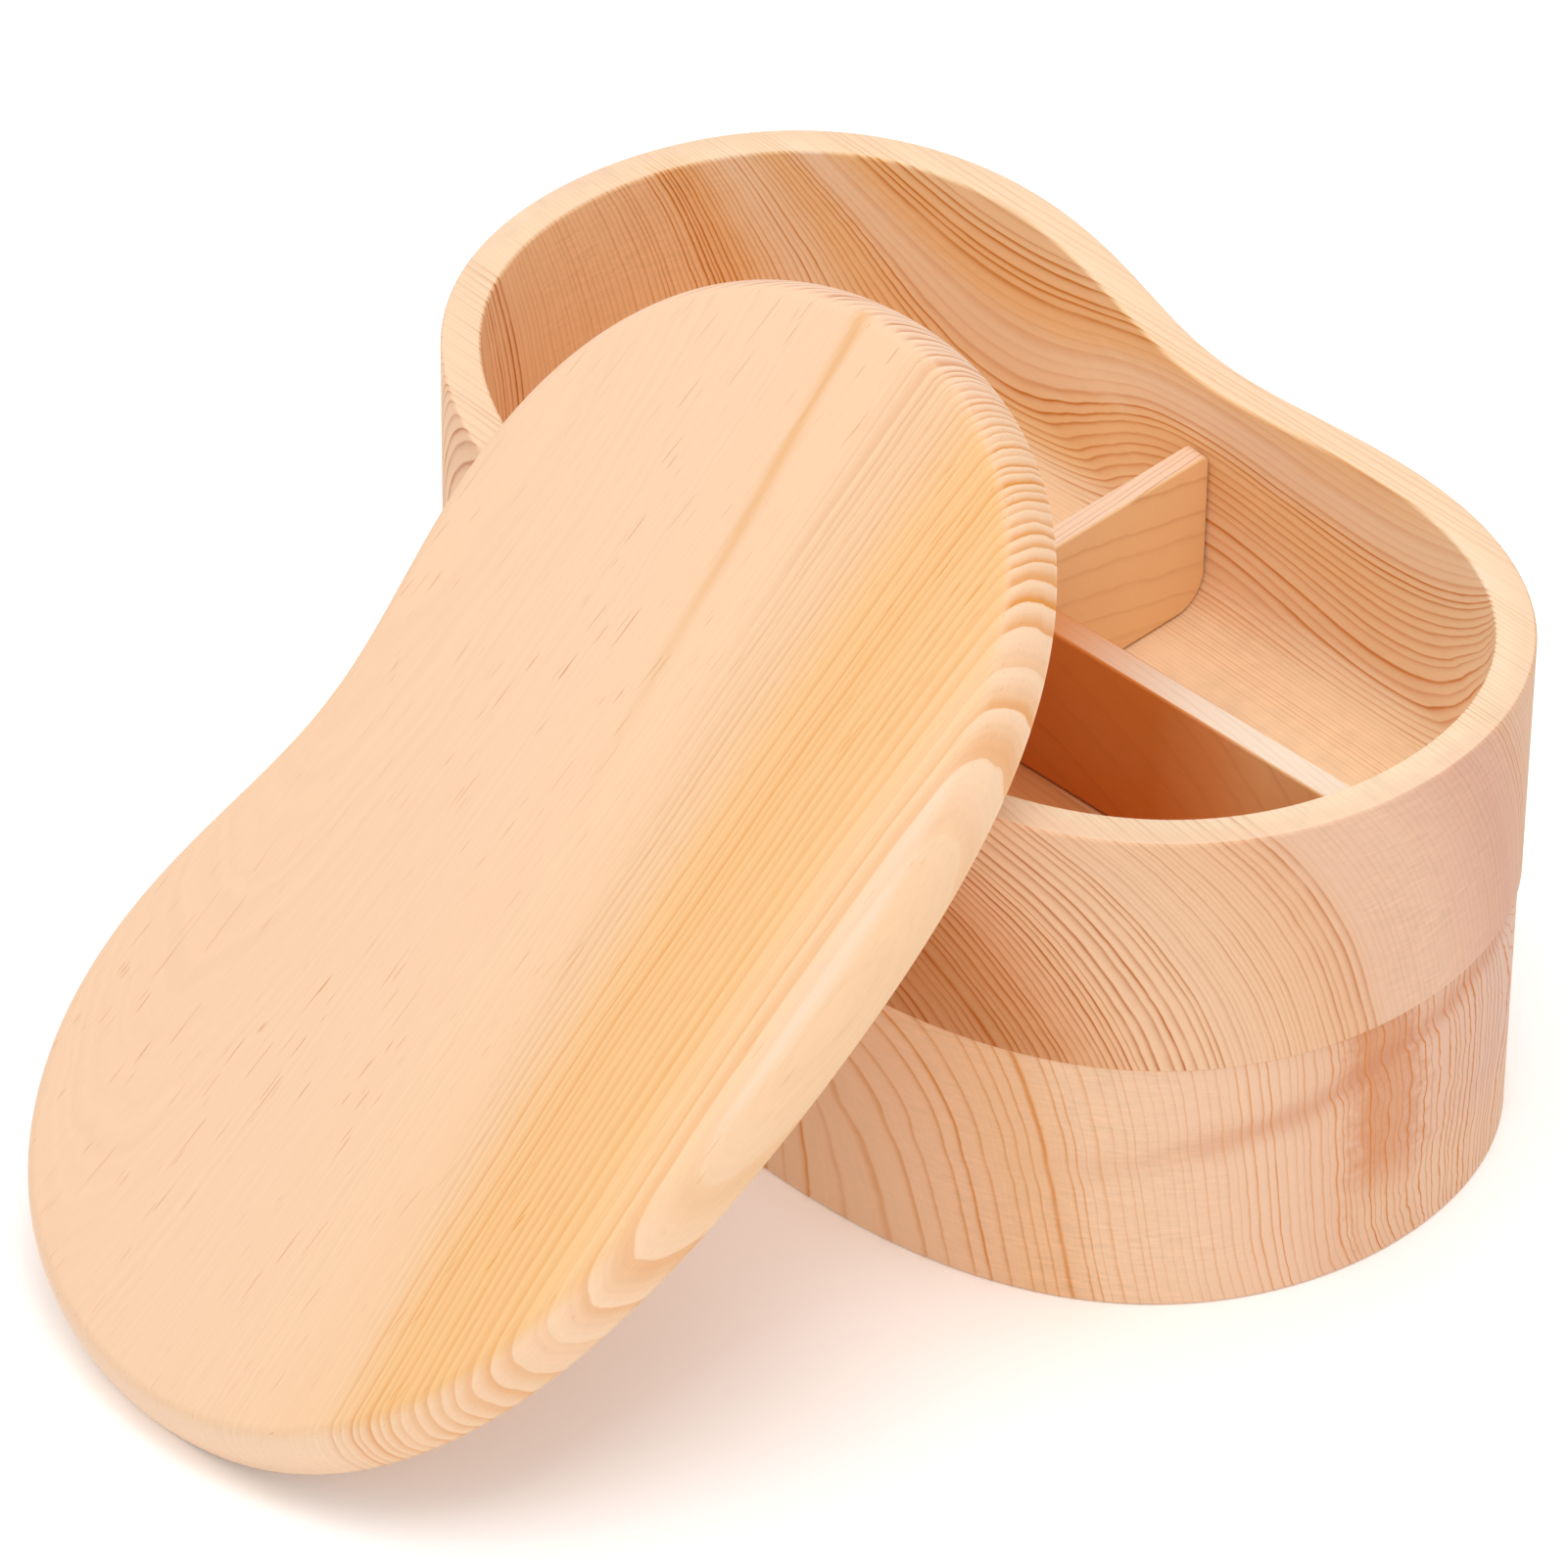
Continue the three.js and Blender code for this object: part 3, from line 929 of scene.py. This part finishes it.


# %% [markdown]
# Each piece is cut from its own board, so each has its own set of rings. What the boards share
# comes first. The upper tier has tight brown rings at the left of its front, which lean and widen
# into plain pinkish wood on the right, and golden bands inside. The darkest brown of the front is
# partly painted shade of the lid, and the golden cast inside is painted bounce light.

# %% The upper tier's board
ANY_WOOD = dict(
    up=(0, 0, 1), tone_by=(1.0, 0.0), fleck=0.12, thin_sheets=0.035, marks=0.13,
    woven=[(-75, 0.2), (-8, 0.2), (2, 1.0), (20, 1.0), (26, 0.9), (36, 0.7), (42, 0.1), (85, 0.1)],
    blush=dict(amount=0.15, colour="#efc3a2"),
)
# The paler colour of the tiers' faces that look up is painted top light and sheen.
TIER_TOP_LIGHT = dict(amount=0.75, lines_kept=0.35, colour="#f9dab9")
UPPER_WOOD = dict(
    ANY_WOOD, middle=65.0, sway=0.5, ripple=0.15,
    sheets={
        "x": -6.6, "y": 53.1, "z": 16.3, "xx": 2.8, "xy": -0.8, "yy": -0.4, "xz": 4.0, "zz": 10.4,
        "xxx": 0.4, "xxy": -2.5, "yyy": -1.3, "xxz": -3.3, "xyz": -5.9, "yyz": 1.5, "yzz": -0.9, "zzz": 1.4,
    },
    spacing=[
        (-75, 0.9), (-50, 0.7), (-38, 0.8), (-36, 1.4), (-31, 1.4), (-29, 0.9), (-24, 0.7), (-19, 0.8),
        (-15, 0.75), (-13, 1.2), (-9, 1.5), (-7, 1.0), (5, 1.0), (20, 0.9), (28, 0.65), (34, 0.75),
        (40, 0.65), (46, 0.7), (49, 1.0), (56, 1.1), (62, 1.2), (85, 1.2),
    ],
    late_line=BROAD_LATE,
    lines=[
        (-75, 0.95), (-50, 0.95), (-44, 0.9), (-40, 1.0), (-37, 0.85), (-34, 0.75), (-31, 0.85),
        (-28.5, 0.45), (-26, 0.3), (-22.5, 0.3), (-21, 0.55), (-19.5, 0.42), (-17.8, 0.55), (-16.3, 0.22),
        (-15, 0.55), (-14, 0.28), (-12.5, 0.5), (-11, 0.28), (-9.6, 0.48), (-7, 0.4), (-5, 0.14),
        (10, 0.12), (17, 0.15), (24, 0.3), (27, 0.5), (30, 0.65), (33, 0.45), (36, 0.3), (39, 0.5),
        (41, 0.35), (43.5, 0.45), (45, 0.6), (47, 0.25), (49, 0.18), (52, 0.35), (54, 0.6), (58, 0.45),
        (85, 0.3),
    ],
    # The darkest tones, below -46, are the wood's brown deepened by painted shade of the lid, which falls on
    # that stretch of the front.
    tones=[
        (-75, "#cc8855"), (-50, "#d0905b"), (-46, "#df9f6c"), (-42, "#efb689"), (-39, "#f5c59b"),
        (-36, "#f6cba4"), (-30, "#f6cba4"), (-27.5, "#f5caa4"), (-18, "#f4c59d"), (-10, "#efbc94"),
        (-5, "#f0c4a5"), (6, "#f0c4a6"), (12, "#ecbca1"), (18, "#e6b398"), (21, "#e4b199"), (30, "#e9bd9f"),
        (60, "#f3c79c"), (85, "#f3c79c"),
    ],
    late=[(-75, "#b05a1c"), (-30, "#be661c"), (20, "#ca721c"), (30, "#d2801c"), (85, "#d2801c")],
    # The inner tones are the wood's ring bands in a golden cast, which is painted bounce light from the
    # walls around.
    inner=dict(
        tones=[
            (10, "#fbd0a2"), (26, "#fcd2a4"), (29, "#f9c997"), (31, "#f8c994"), (33, "#fbd3a5"),
            (38, "#fee5c5"), (41, "#fcddb4"), (43, "#fbd5a2"), (45, "#fbd6a5"), (46.5, "#fde1bf"),
            (48.5, "#fde3c3"), (51, "#fad19d"), (54, "#f9cf99"), (56, "#fcdbaf"), (85, "#fbd8a8"),
        ],
        lines=[(-75, 0.0), (2, 1.0), (10, 1.7), (24, 1.5), (34, 1.0), (40, 0.6), (85, 0.5)],
        drift_x=(10.0, 75.0), drift=0.8, drift_colour="#fdeccb",
    ),
    top=TIER_TOP_LIGHT,
    floor=dict(
        z=(58.0, 54.0), amount=0.85, colour="#fce0ba",
        # The orange band on the floor from y -24 to -3 is painted shade of the lid; the pale floor is
        # painted top light.
        streak_back=(3.0, -3.0), streak_front=(-34.0, -24.0), streak=0.8, streak_colour="#dc8a3c",
    ),
)
print("upper tier:", ring_count(UPPER_WOOD["spacing"])[-1, 1].round(), "rings")

# %% [markdown]
# The lower tier's rings stand upright across its front. They are wide on the left, where the cut
# runs almost along them, and close up to strong, even lines at the right end.

# %% The lower tier's board
LOWER_WOOD = dict(
    ANY_WOOD, middle=22.0, sway=0.4, ripple=0.2,
    sheets={
        "x": 13.3, "y": 18.1, "z": 2.1, "xx": 21.4, "xy": -3.0, "yy": 44.6, "xz": -1.1, "yz": -1.2,
        "zz": 34.9, "xxx": 13.5, "xxy": -1.7, "xyy": -47.4, "yyy": 30.0, "xyz": -5.7, "yyz": 5.8,
        "xzz": -37.1, "yzz": 5.7, "zzz": 4.8,
    },
    straight_past=dict(x_low=0.4, y_high=0.55, by_x=40.0, by_y=35.0, soft=0.1),
    spacing=[
        (-60, 2.4), (-8, 2.4), (8, 2.3), (14, 1.9), (22, 1.7), (28, 1.5), (37, 1.2), (43, 0.75), (46, 0.5),
        (48, 0.3), (50, 0.26), (53, 0.3), (58, 0.42), (70, 0.8), (150, 1.2),
    ],
    late_line=THIN_LATE,
    lines=[
        (-60, 0.6), (-8, 0.6), (0, 0.65), (8, 0.7), (15, 0.62), (20, 0.48), (24, 0.3), (30, 0.35), (36, 0.3),
        (38, 0.5), (41, 0.65), (43, 0.45), (46, 0.6), (48, 0.95), (52, 0.95), (60, 0.6), (150, 0.4),
    ],
    tones=[
        (-60, "#f6cba4"), (-8, "#f7cda7"), (0, "#f7c9a2"), (7, "#f6c69a"), (13, "#f6c69b"), (18, "#f9d0ab"),
        (30, "#f8cfac"), (42, "#f4caaa"), (47, "#eec0a0"), (48, "#da946a"), (48.9, "#e4aa84"),
        (49.6, "#d8926a"), (50.4, "#edc0a4"), (55, "#e9c2ae"), (62, "#f3c6a0"), (150, "#f3c6a0"),
    ],
    late=[(-60, "#dc8c22"), (45, "#d88022"), (150, "#c8662a")],
    top=TIER_TOP_LIGHT,
    foot=dict(z=(8.0, 20.0), deep=(46.0, 48.0), amount=0.8, colour="#f2c9a8"),
    trace=dict(
        level=38.95, by_x=-16.61, by_y=13.89, by_xx=13.74, width=2.8, push=0.25, colour="#d08662",
        tint=[(-100, 0.0), (55, 0.0), (68, 0.04), (78, 0.12), (86, 0.25), (92, 0.42), (100, 0.42)],
    ),
)
print("lower tier:", ring_count(LOWER_WOOD["spacing"])[-1, 1].round(), "rings")

# %% [markdown]
# The lid is one wide board. Most of its face is plain pale wood, and a honey-coloured band of
# close rings runs along its long round side. Where the edge is rolled over, the same rings open
# into nested ovals. Its look is written in the lid's own directions.

# %% The lid's board
lid_matrix = LID_TURN.to_matrix()
LID_WOOD = dict(
    ANY_WOOD, middle=0.0, turn=tuple(lid_matrix.to_euler("XYZ")), place=tuple(LID_PLACE * MM),
    up=tuple(lid_matrix.col[2]), tone_by=(1.0, -0.043), sway=0.6, ripple=0.4,
    fleck=0.55, thin_sheets=0.045, marks=0.0,
    sheets={
        "x": -8.72, "y": 63.88, "z": -23.06, "xx": -0.74, "xy": 5.02, "yy": -3.6, "xz": 12.96,
        "yz": -68.65, "xxx": 0.79, "xxy": -9.25, "xyy": 7.18, "yyy": -10.88, "xxz": 1.45, "xyz": 12.7,
        "yyz": -66.23,
    },
    spacing=[
        (-58.7, 2.6), (-54, 2.5), (-50, 2.5), (-46, 2.1), (-42, 1.7), (-38, 1.35), (-34, 1.2), (-20, 1.2),
        (-12, 1.4), (-4, 1.5), (60, 1.5),
    ],
    late_line=SHARP_FIRST,
    lines=[
        (-60, 0.0), (-56.8, 0.02), (-56, 0.24), (-50, 0.26), (-44, 0.28), (-38, 0.3), (-30, 0.34),
        (-20, 0.34), (-12, 0.28), (-9, 0.14), (-6, 0.05), (-4.5, 0.12), (-1.5, 0.12), (0.5, 0.05),
        (10, 0.04), (60, 0.05),
    ],
    dies_out=dict(by_x=0.115, deep=(-21.0, -14.5)),
    tones=[
        (-75, "#fbddc2"), (-57, "#fadabc"), (-55, "#f9d3aa"), (-50, "#f8cc9b"), (-44, "#f5c68d"),
        (-34, "#f4c389"), (-28, "#f4c58e"), (-24.5, "#f4c898"), (-22, "#f4cba1"), (-18, "#f4cba3"),
        (-10, "#f4cda7"), (5, "#f4cdaa"), (60, "#f3cba8"),
    ],
    late=[(-75, "#e48e24"), (-30, "#e08a26"), (-10, "#c8743a"), (60, "#c8743a")],
    blush=dict(amount=0.15, colour="#f4c7a2"),
    edge=dict(
        amount=0.6, lines_kept=1.3, colour="#f7c997", middle=15.0, end_x=(12.0, 60.0),
        end_colour="#fddcc0", grain_x=(25.0, 80.0), grain=0.5,
    ),
    streak=dict(level=-1.9, by_x=0.167, width=1.1, x=(5.0, 75.0), amount=0.5, colour="#e2a052"),
)
print("lid:", ring_count(LID_WOOD["spacing"])[-1, 1].round(), "rings")

# %% [markdown]
# The two dividers are thin flat-sawn boards, whose sheets lie almost along their faces. A face
# then shows only a few faint lines far apart, and the narrow top shows several close together.

# %% The dividers' boards
CROSS_WOOD = dict(
    ANY_WOOD, middle=60.0, turn=(0.0, 0.0, TEE_TURN), place=(*(TEE_PLACE * MM), 0.0),
    tone_by=(0.0, 1.0), sway=1.5, ripple=0.5, thin_sheets=0.01, marks=0.0,
    sheets={"x": 430.0, "y": 8.0, "z": 45.0, "yy": 6.0},
    spacing=[(-200, 5.0), (200, 5.0)],
    late_line=THIN_LATE,
    lines=[(-200, 0.22), (200, 0.22)],
    tones=[(-10, "#f9d09c"), (10, "#f9d09c")],
    late=[(-10, "#b9662c"), (95, "#b9662c")],
    # The paler colour of the dividers' tops is painted top light and sheen.
    top=dict(amount=0.8, lines_kept=2.2, colour="#f4d0b6"),
)
LONG_WOOD_AND_PAINTED_LIGHT = dict(
    CROSS_WOOD,
    sheets={"x": 10.0, "y": 230.0, "z": 32.0, "xx": 40.0},
    lines=[(-200, 0.14), (200, 0.14)],
    # These tones along x are painted light: the dark orange on the left is painted shadow of the lid, and
    # the pale honey from about x 46 on is painted glow of light bounced in the corner.
    tones=[
        (-10, "#df843d"), (34, "#e18a41"), (46, "#f3aa6c"), (56, "#fdcd95"), (68, "#fdcd97"),
        (80, "#f4b57c"), (95, "#f4b57c"),
    ],
    # The long board's near-white top is painted top light and sheen.
    top=dict(amount=0.9, lines_kept=0.9, colour="#fdebd6"),
)
LOOKS = (LOWER_WOOD, UPPER_WOOD, LID_WOOD, CROSS_WOOD, LONG_WOOD_AND_PAINTED_LIGHT)
for piece, look in zip(PIECES, LOOKS):
    piece.data.materials.append(wood(piece.name, look))
    print(piece.name, len(piece.data.materials[0].node_tree.nodes), "nodes")

# %% [markdown]
# The stage is a wide pale floor. The camera sees it brighter than other rays do, so that it comes
# out plain white and still takes the shadow of the box. A Light Path node tells what kind of ray
# asks for the colour.

# %% Floor
FLOOR_SIZE = 4.0
FLOOR_TINT, FLOOR_SHOWN = 0.92, 1.2


def seen_or_mirrored(n):
    """One for a ray from the camera, from a reflection or through glass, and zero for scattered light."""
    node = n.tree.nodes.new("ShaderNodeLightPath")
    seen = n.math("ADD", node.outputs["Is Camera Ray"], node.outputs["Is Glossy Ray"])
    return n.math("ADD", seen, node.outputs["Is Transmission Ray"], clamp=True)


def grey(level):
    """Colour with all three parts at one level."""
    return (level, level, level, 1)


half = FLOOR_SIZE / 2
floor_corners = [(-half, -half, 0), (half, -half, 0), (half, half, 0), (-half, half, 0)]
floor_mesh = bpy.data.meshes.new("floor")
floor_mesh.from_pydata(floor_corners, [], [(0, 1, 2, 3)])
floor = bpy.data.objects.new("floor", floor_mesh)
bpy.context.scene.collection.objects.link(floor)

card = Nodes("floor_card")
plain = card.add("ShaderNodeBsdfDiffuse", {"Color": grey(FLOOR_TINT)})
shown = card.add("ShaderNodeBsdfDiffuse", {"Color": grey(FLOOR_SHOWN)})
card.finish(card.add("ShaderNodeMixShader", {0: seen_or_mirrored(card), 1: plain, 2: shown}))
floor_mesh.materials.append(card.material)
print("floor", FLOOR_SIZE, "m wide, brightness", FLOOR_TINT, "and", FLOOR_SHOWN, "for the camera")

# %% [markdown]
# Above it all is a world of soft white light, as in a light tent. It too looks pure white to the
# camera and sheds less light than that on the box. Three large lamps above, on the right and on
# the left model the round edges. A lamp's row holds its place, the point it is turned to and its
# width, all in metres, and its power in watts.

# %% World and lamps
WORLD_LIGHT, WORLD_SHOWN = 0.6, 1.0
LAMPS = {
    "overhead_lamp": ((0.2, 0.0, 1.5), (0, 0, 0.05), 0.9, 7.6),
    "right_lamp": ((1.3, -0.8, 0.65), (0, 0, 0.04), 1.0, 5.0),
    "left_lamp": ((-1.1, -0.35, 0.9), (0, 0, 0.06), 0.9, 4.4),
}


def soft_lamp(name, place, aim, size, power):
    """Square area lamp at a place, turned towards a point."""
    lamp = bpy.data.lights.new(name, "AREA")
    lamp.shape, lamp.size, lamp.energy = "SQUARE", size, power
    lamp_object = bpy.data.objects.new(name, lamp)
    lamp_object.location = place
    lamp_object.rotation_euler = (Vector(aim) - Vector(place)).to_track_quat("-Z", "Y").to_euler()
    bpy.context.scene.collection.objects.link(lamp_object)


world = bpy.data.worlds.new("studio")
tent = Nodes("studio", world)
soft = tent.add("ShaderNodeBackground", {"Color": grey(1), "Strength": WORLD_LIGHT})
white = tent.add("ShaderNodeBackground", {"Color": grey(1), "Strength": WORLD_SHOWN})
backdrop = tent.add("ShaderNodeMixShader", {0: seen_or_mirrored(tent), 1: soft, 2: white})
tent.finish(backdrop, "ShaderNodeOutputWorld")
bpy.context.scene.world = world
for name, values in LAMPS.items():
    soft_lamp(name, *values)
bpy.context.scene.view_settings.view_transform = "Standard"
print("world light", WORLD_LIGHT, "with", len(LAMPS), "lamps")
